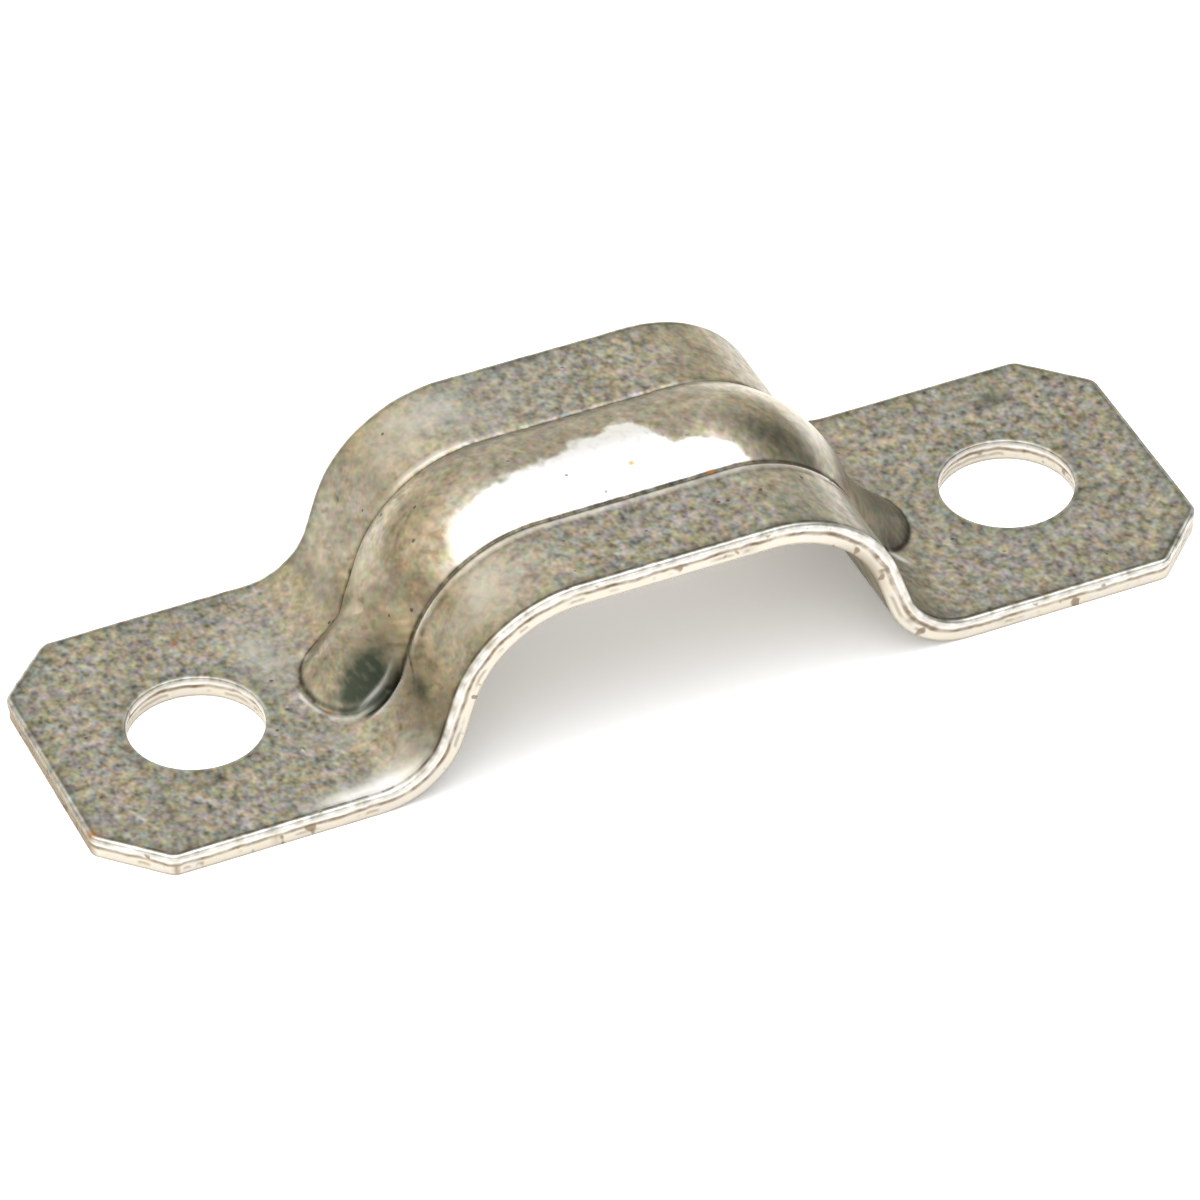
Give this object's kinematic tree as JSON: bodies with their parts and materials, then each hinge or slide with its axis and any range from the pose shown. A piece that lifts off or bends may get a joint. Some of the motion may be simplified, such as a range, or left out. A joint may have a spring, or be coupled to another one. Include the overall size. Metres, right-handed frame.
{
  "type": "two-hole cable strap",
  "caption": "Cable strap of pressed sheet steel: a flat-topped saddle with a stiffening rib, standing on flat feet with cut corners and screw holes.",
  "frame": {"origin": "middle of the strap's length and width, on the underside of the feet, where the wall is", "axes": "+X along the strap through both screw holes, +Y across its width, +Z away from the wall through the top of the saddle"},
  "size_m": [0.0536, 0.016, 0.0103],
  "materials": {
    "zinc_steel": "zinc-coated sheet, mottled dull grey with a fine grain, brighter on the rib and on the rolled edges"
  },
  "bodies": {
    "root": {"strap": "zinc_steel"}
  },
  "joints": []
}
